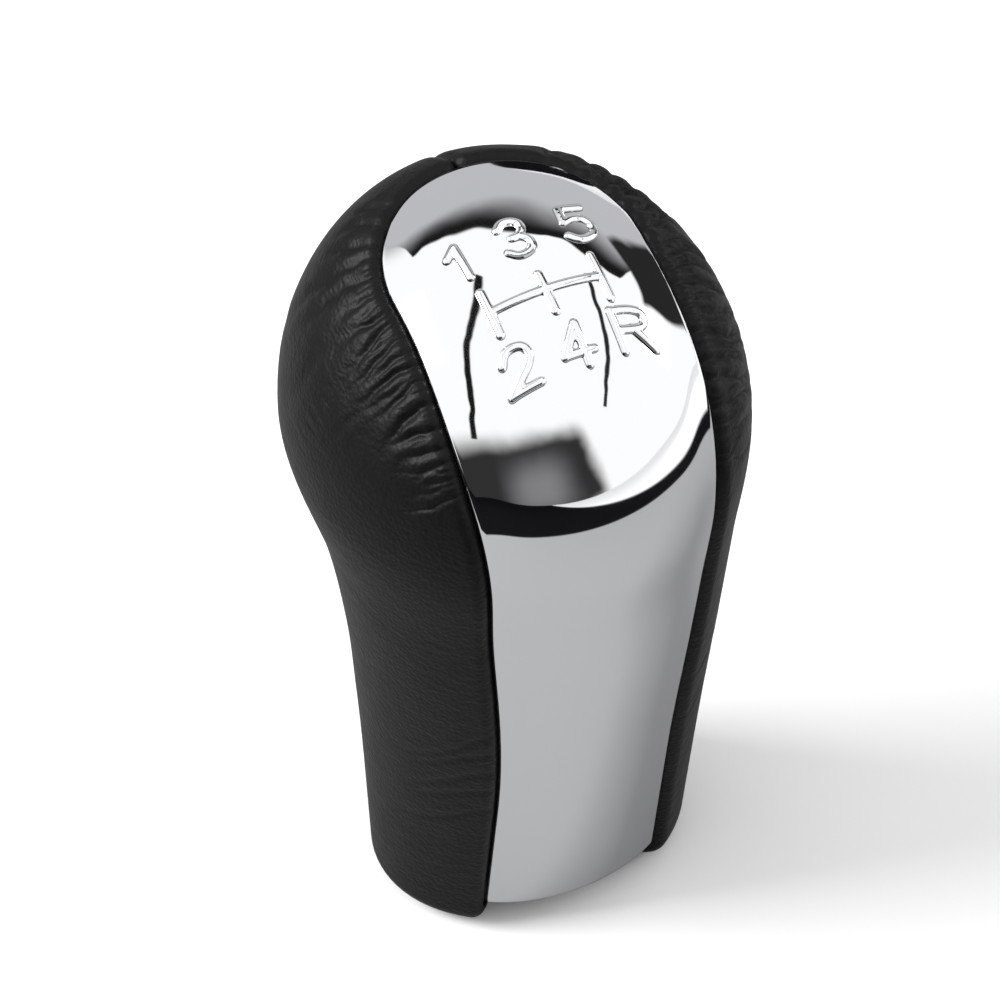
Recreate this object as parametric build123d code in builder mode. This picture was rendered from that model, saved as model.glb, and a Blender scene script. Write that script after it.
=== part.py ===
from build123d import *
import math
import os

# Gear shift knob in millimetres: lever axis on Z, base on Z = 0, chrome trim towards -Y

# Steps between the named sections, from the base up to the top
BASE_TO_NECK = 28.0
NECK_TO_WAIST = 13.0
WAIST_TO_SHOULDER = 12.0
SHOULDER_TO_HEAD = 11.5
HEAD_TO_TOP = 25.9

# Full width of each section, and its reach in front of and behind the lever axis
BASE_WIDTH = 35.2
NECK_WIDTH = 38.0
WAIST_WIDTH = 40.0
SHOULDER_WIDTH = 43.0
HEAD_WIDTH = 47.6
BASE_FRONT = 13.5
NECK_FRONT = 17.8
WAIST_FRONT = 19.6
SHOULDER_FRONT = 20.9
HEAD_FRONT = 22.2
BASE_BACK = 13.8
NECK_BACK = 16.3
WAIST_BACK = 17.6
SHOULDER_BACK = 21.3
HEAD_BACK = 29.7
CROWN_BACK = 5.9
CROWN_FULLNESS = 2.1
FLARE = 0.1

# Leather panels: skin, rounded foot, edges turned into grooves and hem under the base
LEATHER = 1.4
FOOT_RADIUS = 3.0
TUCK_DEPTH = 4.2
HEM_TURN = 4.2
SEAM_GAP = 0.1
GLUE_LINE = 0.1

# Gathers in the leather beside the trim, as slim spindle-shaped hollows
GATHER_COUNT = 10
GATHER_LENGTH = 14.0
GATHER_RADIUS = 1.3
GATHER_DEPTH = 0.55
GATHER_OFFSET = 3.0
GATHER_PITCH = 3.8
GATHER_TILT = 25.0

# Chrome trim: wall, set-back under the leather, edge gap, and its outline from foot to arch
TRIM_WALL = 2.0
TRIM_SINK = 0.8
TRIM_GAP = 0.35
TRIM_LIFT = 4.0
TRIM_ROUND = 0.5
TRIM_FOOT_WIDTH = 19.2
TRIM_HEAD_WIDTH = 24.8
TRIM_CROWN_WIDTH = 26.8
ARCH_WIDTH = 25.4
ARCH_REACH = 10.6
ARCH_SETBACK = 5.0
DRAW_ANGLE = 50.0

# Pegs behind the trim's dome and the rib behind its neck
PEG_DIAMETER = 4.0
PEG_LENGTH = 5.0
PEG_SPREAD = 14.0
PEG_RISE = 18.0
PEG_FIT = 0.15
RIB_WIDTH = 3.0
RIB_DEPTH = 1.6
RIB_HEIGHT = 20.0

# Threaded bush for an M12 x 1.25 lever, and the plate that closes the base round it
BORE_DIAMETER = 10.65
BUSH_DIAMETER = 14.0
BUSH_LENGTH = 30.0
BUSH_GROOVE = 1.0
GROOVE_WIDTH = 3.0
GROOVE_PITCH = 8.0
LEVER_RUNOUT = 6.0
RUNOUT_CLEARANCE = 0.35
CAP_THICKNESS = 3.0
CAP_FIT = 0.2

# Places worked out from the sizes above
NECK_Z = BASE_TO_NECK
WAIST_Z = NECK_Z + NECK_TO_WAIST
SHOULDER_Z = WAIST_Z + WAIST_TO_SHOULDER
HEAD_Z = SHOULDER_Z + SHOULDER_TO_HEAD
TOP_Z = HEAD_Z + HEAD_TO_TOP
REACH = 2 * TOP_Z
STATIONS = 8
CROWN_ANGLES = (0, 20, 38, 54, 67, 77, 85)

# The trim is pressed on along one slanted direction, and its outline is drawn square to it
draw = math.radians(DRAW_ANGLE)
trim_plane = Plane(origin=(0, 0, 0), x_dir=(1, 0, 0), z_dir=(0, -math.cos(draw), math.sin(draw)))
base_centre = (0, (BASE_BACK - BASE_FRONT) / 2)


def rail(base, neck, waist, shoulder, head):
    """One profile of the stem from base to head, as reach against height."""
    points = [(base, 0), (neck, NECK_Z), (waist, WAIST_Z), (shoulder, SHOULDER_Z), (head, HEAD_Z)]
    return Spline([(reach, 0, z) for reach, z in points], tangents=((FLARE, 0, 1), (0, 0, 1)))


side_rail = rail(BASE_WIDTH / 2, NECK_WIDTH / 2, WAIST_WIDTH / 2, SHOULDER_WIDTH / 2, HEAD_WIDTH / 2)
front_rail = rail(BASE_FRONT, NECK_FRONT, WAIST_FRONT, SHOULDER_FRONT, HEAD_FRONT)
back_rail = rail(BASE_BACK, NECK_BACK, WAIST_BACK, SHOULDER_BACK, HEAD_BACK)


def reach_at(profile, z):
    """How far a stem profile stands from the lever axis at a height."""
    return profile.intersect(Plane.XY.offset(z))[0].center().X


def stem_section(z, inset):
    """Height, half width, front and back of the stem at one height."""
    return (z, *(reach_at(profile, z) - inset for profile in (side_rail, front_rail, back_rail)))


def crown_section(angle, inset):
    """Height, half width, front and back of the crown, at an angle up from the head."""
    out = math.cos(math.radians(angle)) ** (2 / CROWN_FULLNESS)
    up = math.sin(math.radians(angle)) ** (2 / CROWN_FULLNESS)
    half_width = (HEAD_WIDTH / 2 - inset) * out
    front = (HEAD_FRONT - inset + CROWN_BACK) * out - CROWN_BACK
    back = (HEAD_BACK - inset - CROWN_BACK) * out + CROWN_BACK
    return HEAD_Z + (HEAD_TO_TOP - inset) * up, half_width, front, back


def knob_form(inset, floor=0.0, foot=0.0):
    """The knob's whole form, taken in all round by inset and cut level at floor."""
    sections = [stem_section(HEAD_Z * step / STATIONS, inset) for step in range(STATIONS)]
    sections += [crown_section(angle, inset) for angle in CROWN_ANGLES]
    with BuildPart() as form:
        for z, half_width, front, back in sections:
            with BuildSketch(Plane.XY.offset(z)):
                with BuildLine():
                    middle = (0, (back - front) / 2)
                    EllipticalCenterArc(middle, half_width, (front + back) / 2, -90, arc_size=180)
                    mirror(about=Plane.YZ)
                make_face()
        loft()
        if floor > 0:
            split(bisect_by=Plane.XY.offset(floor), keep=Keep.TOP)
        if foot > 0:
            fillet(form.faces().sort_by(Axis.Z)[0].edges(), radius=foot)
    return form.part


def slant(y, z):
    """Where a point of the middle plane falls on the trim plane's upward axis."""
    return y * math.sin(draw) + z * math.cos(draw)


def front_block():
    """The space in front of the lever axis, sloping back at 45 degrees over the head."""
    with BuildPart() as block:
        with BuildSketch(Plane.YZ):
            with BuildLine():
                Polyline(
                    (-REACH, -REACH),
                    (0, -REACH),
                    (0, HEAD_Z),
                    (REACH, HEAD_Z + REACH),
                    (-REACH, HEAD_Z + REACH),
                    close=True,
                )
            make_face()
        extrude(amount=REACH, both=True)
    return block.part


def trim_zone(grow):
    """The space inside the trim's outline, in front of the lever axis."""
    foot = TRIM_FOOT_WIDTH / 2 + grow
    below = slant(-BASE_FRONT, -BASE_FRONT)
    neck = slant(-NECK_FRONT, NECK_Z)
    head = slant(-HEAD_FRONT, HEAD_Z)
    arch = slant(CROWN_BACK, TOP_Z) - ARCH_SETBACK
    crown = (head + arch) / 2
    with BuildPart() as zone:
        with BuildSketch(trim_plane):
            with BuildLine():
                Line((0, below), (foot, below))
                Line((foot, below), (foot, neck))
                Spline(
                    (foot, neck),
                    (TRIM_HEAD_WIDTH / 2 + grow, head),
                    (TRIM_CROWN_WIDTH / 2 + grow, crown),
                    (ARCH_WIDTH / 2 + grow, arch),
                    tangents=((0, 1), (0, 1)),
                )
                EllipticalCenterArc((0, arch), ARCH_WIDTH / 2 + grow, ARCH_REACH + grow, 0, arc_size=90)
                mirror(about=Plane.YZ)
            make_face()
        extrude(amount=REACH)
        add(front_block(), mode=Mode.INTERSECT)
    return zone.part


def trim_pegs(fit):
    """Four pegs along the draw direction, from inside the trim's wall into the core."""
    middle = slant(CROWN_BACK, TOP_Z) - ARCH_SETBACK - PEG_RISE / 2
    with BuildPart() as pegs:
        with BuildSketch(trim_plane):
            with Locations((0, middle)):
                with GridLocations(PEG_SPREAD, PEG_RISE, 2, 2):
                    Circle(PEG_DIAMETER / 2 + fit)
        extrude(amount=REACH)
        add(front_block(), mode=Mode.INTERSECT)
        add(knob_form(TRIM_SINK + TRIM_WALL / 2), mode=Mode.INTERSECT)
        add(knob_form(TRIM_SINK + TRIM_WALL + PEG_LENGTH + fit), mode=Mode.SUBTRACT)
    return pegs.part


def trim_rib(fit):
    """Upright rib behind the trim's neck, which keeps it from twisting."""
    with BuildPart() as rib:
        with BuildSketch(Plane.XY.offset(NECK_Z - RIB_HEIGHT - fit)):
            with Locations((0, -NECK_FRONT)):
                Rectangle(RIB_WIDTH + 2 * fit, NECK_FRONT)
        extrude(amount=RIB_HEIGHT + 2 * fit)
        add(knob_form(TRIM_SINK + TRIM_WALL / 2), mode=Mode.INTERSECT)
        add(knob_form(TRIM_SINK + TRIM_WALL + RIB_DEPTH + fit), mode=Mode.SUBTRACT)
    return rib.part


def seam_slab(half_width):
    """Upright slab on the back's middle plane, where the two panels turn in."""
    with BuildPart() as slab:
        with BuildSketch(Plane.XY):
            with Locations((0, REACH / 2)):
                Rectangle(2 * half_width, REACH)
        extrude(amount=REACH)
    return slab.part


def tuck_space(inner, outer, seam, depth):
    """Walls of space round the trim's outline and along the back seam, down to a depth."""
    with BuildPart() as space:
        add(trim_zone(outer))
        add(seam_slab(seam))
        if inner is not None:
            add(trim_zone(inner), mode=Mode.SUBTRACT)
        add(knob_form(depth), mode=Mode.SUBTRACT)
    return space.part


def base_oval(shrink, height):
    """Upright oval that follows the base's edge, taken in by shrink."""
    with BuildPart() as oval:
        with BuildSketch(Plane.XY):
            with Locations(base_centre):
                Ellipse(BASE_WIDTH / 2 - shrink, (BASE_FRONT + BASE_BACK) / 2 - shrink)
        extrude(amount=height)
    return oval.part


def trim_pocket():
    """Space that the trim's wall takes out of the core."""
    with BuildPart() as pocket:
        add(trim_zone(TRIM_GAP))
        add(knob_form(TRIM_SINK + TRIM_WALL + GLUE_LINE), mode=Mode.SUBTRACT)
    return pocket.part


def leather_lining():
    """The space inside the leather, less the walls where its edges are turned in."""
    with BuildPart() as lining:
        add(knob_form(LEATHER, LEATHER, FOOT_RADIUS - LEATHER))
        add(tuck_space(None, TRIM_GAP + LEATHER, LEATHER, TUCK_DEPTH), mode=Mode.SUBTRACT)
    return lining.part


def gather_spindle():
    """Slim spindle along X, raised so that it sinks a gather's depth into the skin below it."""
    with BuildPart() as spindle:
        with BuildSketch(Plane.XY):
            with BuildLine():
                ends = Line((-GATHER_LENGTH / 2, 0), (GATHER_LENGTH / 2, 0))
                ThreePointArc(ends @ 0, (0, GATHER_RADIUS), ends @ 1)
            make_face()
        revolve(axis=Axis.X)
    return spindle.part.moved(Location((0, 0, GATHER_RADIUS - GATHER_DEPTH)))


def gather_seats(skin):
    """Planes on a panel's skin, one after another down the long edge beside the trim."""
    edge = skin.edges().sort_by(SortBy.LENGTH)[-2]
    top_first = (edge @ 0).Z > (edge @ 1).Z
    seats = []
    for step in range(GATHER_COUNT):
        share = (step + 1) * GATHER_PITCH / edge.length
        spot = edge @ (share if top_first else 1 - share)
        normal = skin.normal_at(spot)
        outward = edge.tangent_at(spot).cross(normal)
        outward = outward if outward.X > 0 else -outward
        outward = outward.rotate(Axis((0, 0, 0), normal), -GATHER_TILT)
        middle = skin.closest_points(Vertex(*(spot + outward * GATHER_OFFSET)))[0]
        seats.append(Plane(middle, x_dir=outward, z_dir=skin.normal_at(middle)))
    return seats


# Brass bush, turned, with two grooves that the moulding grips
with BuildPart() as threaded_insert:
    Cylinder(BUSH_DIAMETER / 2, BUSH_LENGTH, align=(Align.CENTER, Align.CENTER, Align.MIN))
    with BuildSketch(Plane.XZ):
        with Locations((BUSH_DIAMETER / 2, BUSH_LENGTH / 2)):
            with GridLocations(0, GROOVE_PITCH, 1, 2):
                Rectangle(2 * BUSH_GROOVE, GROOVE_WIDTH)
    revolve(axis=Axis.Z, mode=Mode.SUBTRACT)
    Hole(BORE_DIAMETER / 2)
threaded_insert.part.label = "threaded_insert"

# Plate that closes the base, flush with the hem and bored for the bush
with BuildPart() as base_cap:
    add(base_oval(HEM_TURN + CAP_FIT, CAP_THICKNESS))
    Hole(BUSH_DIAMETER / 2 + CAP_FIT)
base_cap.part.label = "base_cap"

# Chrome trim, one plated shell from the foot over the dome to its arch
with BuildPart() as chrome_trim:
    add(knob_form(TRIM_SINK, TRIM_LIFT))
    add(knob_form(TRIM_SINK + TRIM_WALL), mode=Mode.SUBTRACT)
    add(trim_zone(0), mode=Mode.INTERSECT)
    faces = chrome_trim.faces().filter_by(GeomType.BSPLINE).sort_by(lambda face: face.bounding_box().max.Z)[-2:]
    rim = faces.edges().filter_by(lambda edge: abs(edge.position_at(0.5).X) > TRIM_WALL)
    fillet(rim.filter_by(lambda edge: edge.position_at(0.5).Z < TOP_Z - 2 * TRIM_SINK), radius=TRIM_ROUND)
    add(trim_pegs(0))
    add(trim_rib(0))
chrome_trim.part.label = "chrome_trim"

# Moulded core, with pockets for everything that is let into it
with BuildPart() as core:
    add(knob_form(LEATHER + GLUE_LINE, LEATHER + GLUE_LINE, FOOT_RADIUS - LEATHER))
    add(trim_pocket(), mode=Mode.SUBTRACT)
    tuck_wall = TRIM_GAP + LEATHER + GLUE_LINE
    tuck_floor = TUCK_DEPTH + GLUE_LINE
    add(tuck_space(TRIM_GAP - GLUE_LINE, tuck_wall, LEATHER + GLUE_LINE, tuck_floor), mode=Mode.SUBTRACT)
    add(trim_pegs(PEG_FIT), mode=Mode.SUBTRACT)
    add(trim_rib(PEG_FIT), mode=Mode.SUBTRACT)
    add(base_oval(HEM_TURN, CAP_THICKNESS + GLUE_LINE), mode=Mode.SUBTRACT)
    add(threaded_insert.part, mode=Mode.SUBTRACT)
    with BuildSketch(Plane.XY):
        Circle(BORE_DIAMETER / 2 + RUNOUT_CLEARANCE)
    extrude(amount=BUSH_LENGTH + LEVER_RUNOUT, mode=Mode.SUBTRACT)
core.part.label = "core"

# Right-hand leather panel, turned in round the trim, down the back seam and under the base
with BuildPart() as leather_right:
    add(knob_form(0, foot=FOOT_RADIUS))
    add(leather_lining(), mode=Mode.SUBTRACT)
    add(trim_zone(TRIM_GAP), mode=Mode.SUBTRACT)
    add(base_oval(HEM_TURN, LEATHER), mode=Mode.SUBTRACT)
    split(bisect_by=Plane.YZ.offset(SEAM_GAP / 2), keep=Keep.TOP)
    with Locations(*gather_seats(leather_right.faces().sort_by(SortBy.AREA)[-1])):
        add(gather_spindle(), mode=Mode.SUBTRACT)
leather_right.part.label = "leather_right"

# Left-hand panel, the same cut turned over
with BuildPart() as leather_left:
    add(mirror(leather_right.part, about=Plane.YZ, mode=Mode.PRIVATE))
leather_left.part.label = "leather_left"

os.makedirs("parts", exist_ok=True)
for piece in (core, threaded_insert, base_cap, chrome_trim, leather_left, leather_right):
    export_step(piece.part, f"parts/{piece.part.label}.step")
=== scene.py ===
"""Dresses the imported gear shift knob: chrome strip, shift pattern, leather panels, bush thread and stage."""

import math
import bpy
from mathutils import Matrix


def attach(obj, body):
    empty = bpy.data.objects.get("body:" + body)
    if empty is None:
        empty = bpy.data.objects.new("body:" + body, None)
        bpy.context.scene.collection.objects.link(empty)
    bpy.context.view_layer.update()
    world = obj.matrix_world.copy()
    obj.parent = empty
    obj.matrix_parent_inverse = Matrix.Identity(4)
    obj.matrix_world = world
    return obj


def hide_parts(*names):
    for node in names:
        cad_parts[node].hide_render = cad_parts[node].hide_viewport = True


bl_info = {
    "name": "Gear Shift Knob",
    "version": (1, 0, 0),
    "blender": (4, 5, 0),
    "location": "View3D > Sidebar > Gear Knob",
    "description": "Builds the visible pieces of a leather and chrome gear shift knob around its solids",
    "category": "Object",
}

import bpy
import numpy as np
from bpy.props import FloatProperty, FloatVectorProperty, IntProperty, PointerProperty
from mathutils import Vector

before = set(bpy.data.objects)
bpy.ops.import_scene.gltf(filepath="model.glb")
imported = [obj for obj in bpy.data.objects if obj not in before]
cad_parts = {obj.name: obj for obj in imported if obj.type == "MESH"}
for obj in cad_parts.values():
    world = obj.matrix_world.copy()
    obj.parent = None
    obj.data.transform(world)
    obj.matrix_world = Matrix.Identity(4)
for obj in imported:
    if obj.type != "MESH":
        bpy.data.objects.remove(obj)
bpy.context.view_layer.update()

MM = 0.001
UP = np.array((0.0, 0.0, 1.0))
# Rings, counted from the base, that the strip's outline and the crown are measured from
NECK, HEAD = 1, 4
# Least half width of a section, and the step over which slopes of the form are taken
TINY = 1e-7
SLOPE_STEP = 1e-6
# Lines to the form start this far under its top, and are searched over this reach by halving
START_DEPTH = 10 * MM
SEARCH_REACH = 0.12
SEARCH_HALVINGS = 40


class KnobFormSettings(bpy.types.PropertyGroup):
    """The knob's form as named rings, from the base up to the head, and the crown above them."""

    ring_height: FloatVectorProperty(
        name="Ring Heights", description="Height of the base, neck, waist, shoulder and head rings",
        size=5, subtype="XYZ_LENGTH", default=(0.0, 0.028, 0.041, 0.053, 0.0645))
    ring_side: FloatVectorProperty(
        name="Ring Half Widths", description="Half width of each ring",
        size=5, subtype="XYZ_LENGTH", default=(0.0176, 0.019, 0.02, 0.0215, 0.0238))
    ring_front: FloatVectorProperty(
        name="Ring Fronts", description="Reach of each ring in front of the lever axis",
        size=5, subtype="XYZ_LENGTH", default=(0.0135, 0.0178, 0.0196, 0.0209, 0.0222))
    ring_back: FloatVectorProperty(
        name="Ring Backs", description="Reach of each ring behind the lever axis",
        size=5, subtype="XYZ_LENGTH", default=(0.0138, 0.0163, 0.0176, 0.0213, 0.0297))
    crown_height: FloatProperty(
        name="Crown Height", description="From the head ring to the top", default=0.0259, unit="LENGTH")
    crown_back: FloatProperty(
        name="Crown Back", description="How far the top lies behind the lever axis",
        default=0.0059, unit="LENGTH")
    crown_fullness: FloatProperty(
        name="Crown Fullness", description="2 is an ellipse, more is squarer",
        default=2.1, min=1.5, max=3.0)
    foot_radius: FloatProperty(
        name="Foot Radius", description="Rounding of the leather's foot", default=0.003, unit="LENGTH")


class TrimSettings(bpy.types.PropertyGroup):
    """The chrome strip: its wall, its outline seen along the direction it is pressed on, and its plating."""

    wall: FloatProperty(
        name="Wall", description="Thickness of the plated shell", default=0.0019, unit="LENGTH")
    sink: FloatProperty(
        name="Sink", description="Depth of the strip under the leather's skin",
        default=0.0008, unit="LENGTH")
    lift: FloatProperty(name="Lift", description="Height of the strip's foot", default=0.004, unit="LENGTH")
    edge_round: FloatProperty(
        name="Edge Round", description="Rounding of the strip's rim", default=0.0005, unit="LENGTH")
    half_width: FloatVectorProperty(
        name="Half Widths", description="Half width at the neck, head, crown and arch",
        size=4, subtype="XYZ_LENGTH", default=(0.0102, 0.0124, 0.0138, 0.0135))
    arch_reach: FloatProperty(
        name="Arch Reach", description="Depth of the rounded end", default=0.0113, unit="LENGTH")
    arch_slope: FloatProperty(
        name="Arch Slope", description="Share of a growth down the back that shows on the outline plane",
        default=0.42, min=0.1, max=1.0)
    arch_setback: FloatProperty(
        name="Arch Set-back", description="How far the arch springs in front of the top",
        default=0.005, unit="LENGTH")
    draw_angle: FloatProperty(
        name="Draw Angle", description="Rise of the direction that the strip is pressed on along",
        default=math.radians(50.0), subtype="ANGLE")
    plating: FloatVectorProperty(
        name="Plating", description="Colour of the chrome", subtype="COLOR", size=4,
        default=(0.87, 0.875, 0.885, 1.0))


class LeatherSettings(bpy.types.PropertyGroup):
    """The leather panels: skin, rolled edges, gathers and colour."""

    skin: FloatProperty(name="Skin", description="Thickness of the leather", default=0.0014, unit="LENGTH")
    gap: FloatProperty(
        name="Gap", description="Gap between the leather and the strip", default=0.00035, unit="LENGTH")
    seam: FloatProperty(
        name="Seam", description="Gap between the panels at the back", default=0.0001, unit="LENGTH")
    roll: FloatProperty(
        name="Roll", description="Radius of the rolled edges", default=0.0012, unit="LENGTH")
    gather_depth: FloatProperty(
        name="Gather Depth", description="Depth of the deepest gathers", default=0.0008, unit="LENGTH")
    puff: FloatProperty(
        name="Puff", description="Swell of the leather between the gathers", default=0.00045, unit="LENGTH")
    colour: FloatVectorProperty(
        name="Leather", description="Colour of the leather", subtype="COLOR", size=4,
        default=(0.0036, 0.0036, 0.0038, 1.0))


class StageSettings(bpy.types.PropertyGroup):
    """Camera and floor."""

    camera_place: FloatVectorProperty(
        name="Camera", description="Where the camera stands", subtype="XYZ_LENGTH", size=3,
        default=(-0.16876, -0.35473, 0.49301))
    camera_target: FloatVectorProperty(
        name="Target", description="Where the camera looks", subtype="XYZ_LENGTH", size=3,
        default=(-0.001005, 0.005, 0.04918))
    lens: FloatProperty(name="Lens", description="Focal length of the camera in millimetres", default=205.8)
    floor_colour: FloatVectorProperty(
        name="Floor", description="Colour of the floor", subtype="COLOR", size=4,
        default=(0.9, 0.9, 0.903, 1.0))
    table_radius: FloatProperty(
        name="Table Radius", description="How far the pale table reaches in reflections",
        default=0.215, unit="LENGTH")


# Form: rings below the head, and a crown above it that closes on the top


def smooth_curve(knots, values, at, level_start=False):
    """Cubic curve through knots, with slopes from the neighbours and a level end."""
    slopes = np.gradient(values, knots)
    slopes[-1] = 0.0
    if level_start:
        slopes[0] = 0.0
    at = np.clip(at, knots[0], knots[-1])
    low = np.clip(np.searchsorted(knots, at, side="right") - 1, 0, len(knots) - 2)
    span = knots[low + 1] - knots[low]
    t = (at - knots[low]) / span
    rise = (1 + 2 * t) * (1 - t) ** 2 * values[low] + t * t * (3 - 2 * t) * values[low + 1]
    return rise + span * (t * (1 - t) ** 2 * slopes[low] - t * t * (1 - t) * slopes[low + 1])


def form_settings():
    """The scene's settings of the form."""
    return bpy.context.scene.knob_form


def ring_values(name):
    """One setting of all the rings."""
    return np.array(getattr(form_settings(), name), dtype=float)


def unit(vectors):
    """Rows of vectors, each made one long."""
    return vectors / np.linalg.norm(vectors, axis=1)[:, None]


def section(z, inset=0.0):
    """Half width, middle and half depth of the form's level section at each height."""
    form = form_settings()
    heights = ring_values("ring_height")
    head = heights[HEAD]
    power = form.crown_fullness
    up = np.clip((z - head) / (form.crown_height - inset), 0.0, 1.0)
    closing = (1.0 - up ** power) ** (1.0 / power)
    side, front, back = (smooth_curve(heights, ring_values(name), z) - inset
                         for name in ("ring_side", "ring_front", "ring_back"))
    top = form.crown_back
    front = np.where(z > head, (front + top) * closing - top, front)
    back = np.where(z > head, (back - top) * closing + top, back)
    return side * closing, (back - front) / 2, (front + back) / 2


def depth_outside(points, inset):
    """Positive outside the form, taken in by inset, and negative inside it."""
    form = form_settings()
    side, middle, depth = section(points[:, 2], inset)
    top = form.ring_height[HEAD] + form.crown_height - inset
    across = (points[:, 0] / np.maximum(side, TINY)) ** 2
    across += ((points[:, 1] - middle) / np.maximum(depth, TINY)) ** 2
    return np.where(points[:, 2] >= top, 1.0, across - 1.0)


def form_change(points, inset):
    """Change of depth_outside over two slope steps along each axis."""
    steps = SLOPE_STEP * np.eye(3)
    return np.stack([depth_outside(points + step, inset) - depth_outside(points - step, inset)
                     for step in steps], axis=1)


def form_normal(points, inset):
    """Outward direction of the form at points on it."""
    return unit(form_change(points, inset))


def height_over(points, inset):
    """Distance of points near the form from it, positive outside."""
    change = np.linalg.norm(form_change(points, inset), axis=1)
    return depth_outside(points, inset) * 2 * SLOPE_STEP / change


def cast(starts, direction, inset):
    """Points where lines that start inside the form leave it."""
    low = np.zeros(len(starts))
    high = np.full(len(starts), SEARCH_REACH)
    for _ in range(SEARCH_HALVINGS):
        middle = (low + high) / 2
        outside = depth_outside(starts + middle[:, None] * direction, inset) > 0
        high = np.where(outside, middle, high)
        low = np.where(outside, low, middle)
    return starts + ((low + high) / 2)[:, None] * direction


def draw_axes():
    """Upward axis of the strip's outline plane, and the direction square to it."""
    angle = bpy.context.scene.knob_trim.draw_angle
    rise = np.array((0.0, math.sin(angle), math.cos(angle)))
    return rise, np.array((0.0, -math.cos(angle), math.sin(angle)))


def outline_marks():
    """Heights on the outline plane of the neck, head, crown and arch."""
    form = form_settings()
    rise, _ = draw_axes()
    neck, head = (form.ring_height[ring] * rise[2] - form.ring_front[ring] * rise[1]
                  for ring in (NECK, HEAD))
    top = form.ring_height[HEAD] + form.crown_height
    arch = form.crown_back * rise[1] + top * rise[2] - bpy.context.scene.knob_trim.arch_setback
    return np.array((neck, head, (head + arch) / 2, arch))


def outline_half_width(mark):
    """Half width of the strip's outline at a height on its plane."""
    widths = np.array(bpy.context.scene.knob_trim.half_width, dtype=float)
    return smooth_curve(outline_marks(), widths, mark, level_start=True)


def cast_outline(x, mark, inset):
    """Points of the form over places on the outline plane."""
    rise, out = draw_axes()
    form = form_settings()
    under_top = form.ring_height[HEAD] + form.crown_height - START_DEPTH
    depth = np.minimum(mark * rise[1] / rise[2], (under_top - mark * rise[2]) / out[2])
    starts = np.column_stack((x, np.zeros((len(x), 2)))) + mark[:, None] * rise + depth[:, None] * out
    return cast(starts, out, inset)


def front_y(x, z, inset):
    """Where the form's front lies at a place across it and a height."""
    side, middle, depth = section(z, inset)
    return middle - depth * np.sqrt(1 - (x / side) ** 2)


def stem_edge(z, grow, inset):
    """Half width of the strip where its side edge crosses a height on the stem."""
    rise, _ = draw_axes()
    half = np.full_like(z, bpy.context.scene.knob_trim.half_width[0]) + grow
    for _ in range(12):
        half = outline_half_width(front_y(half, z, inset) * rise[1] + z * rise[2]) + grow
    return half


def strip_rows(across, stem_z, crown_steps, arch_steps, grow, inset):
    """Rows of points on the form from the strip's foot over its crown to its arch."""
    rise, _ = draw_axes()
    trim = bpy.context.scene.knob_trim
    halves = stem_edge(stem_z, grow, inset)
    rows = []
    for z, half in zip(stem_z, halves):
        level = np.full_like(across, z)
        rows.append(np.column_stack((across * half, front_y(across * half, level, inset), level)))
    marks_head = rows[-1] @ rise
    edge_mark = front_y(halves[-1], stem_z[-1:], inset)[0] * rise[1] + stem_z[-1] * rise[2]
    arch = outline_marks()[-1]
    for step in crown_steps:
        half = outline_half_width(edge_mark + (arch - edge_mark) * step) + grow
        rows.append(cast_outline(across * half, marks_head + (arch - marks_head) * step, inset))
    for step in arch_steps:
        x = across * math.sqrt(1 - step ** 2 / 2) * (trim.half_width[3] + grow)
        mark = arch + step * np.sqrt(1 - across ** 2 / 2) * (trim.arch_reach + grow * trim.arch_slope)
        rows.append(cast_outline(x, mark, inset))
    return np.array(rows)


# Mesh helpers


def only(obj):
    """Selects one object and makes it active."""
    bpy.ops.object.select_all(action="DESELECT")
    obj.select_set(True)
    bpy.context.view_layer.objects.active = obj


def add_object(name, data):
    """A new object in the scene."""
    obj = bpy.data.objects.new(name, data)
    bpy.context.scene.collection.objects.link(obj)
    return obj


def aim(obj, place, target):
    """Puts a camera or lamp at a place and turns it to look at another."""
    obj.location = place
    obj.rotation_euler = (Vector(target) - Vector(place)).to_track_quat("-Z", "Y").to_euler()


def spline_weights(count, samples):
    """Weights of a uniform cubic spline's control points at even samples, ends held."""
    place = np.linspace(0.0, count - 1.0, samples)
    low = np.minimum(place.astype(int), count - 2)
    f = place - low
    blend = np.stack(((1 - f) ** 3, 3 * f ** 3 - 6 * f ** 2 + 4,
                      1 + 3 * f + 3 * f ** 2 - 3 * f ** 3, f ** 3), axis=1) / 6
    padded = np.zeros((samples, count + 2))
    for offset in range(4):
        padded[np.arange(samples), low + offset] += blend[:, offset]
    weights = padded[:, 1:-1].copy()
    for end, beside in ((0, 1), (-1, -2)):
        weights[:, end] += 2 * padded[:, end]
        weights[:, beside] -= padded[:, end]
    return weights


def spline_surface(points, rows, columns, passes=6):
    """Dense rows of a smooth surface through a coarse grid of points."""
    at_rows, at_columns = (spline_weights(count, count) for count in points.shape[:2])
    control = points.copy()
    for _ in range(passes):
        control += points - np.einsum("ri,ijk,cj->rck", at_rows, control, at_columns)
    to_rows, to_columns = map(spline_weights, points.shape[:2], (rows, columns))
    return np.einsum("ri,ijk,cj->rck", to_rows, control, to_columns)


def border_loop(index):
    """Indices of a grid's border, once round it."""
    return np.concatenate((index[0, :-1], index[:-1, -1], index[-1, :0:-1], index[:0:-1, 0]))


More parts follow.
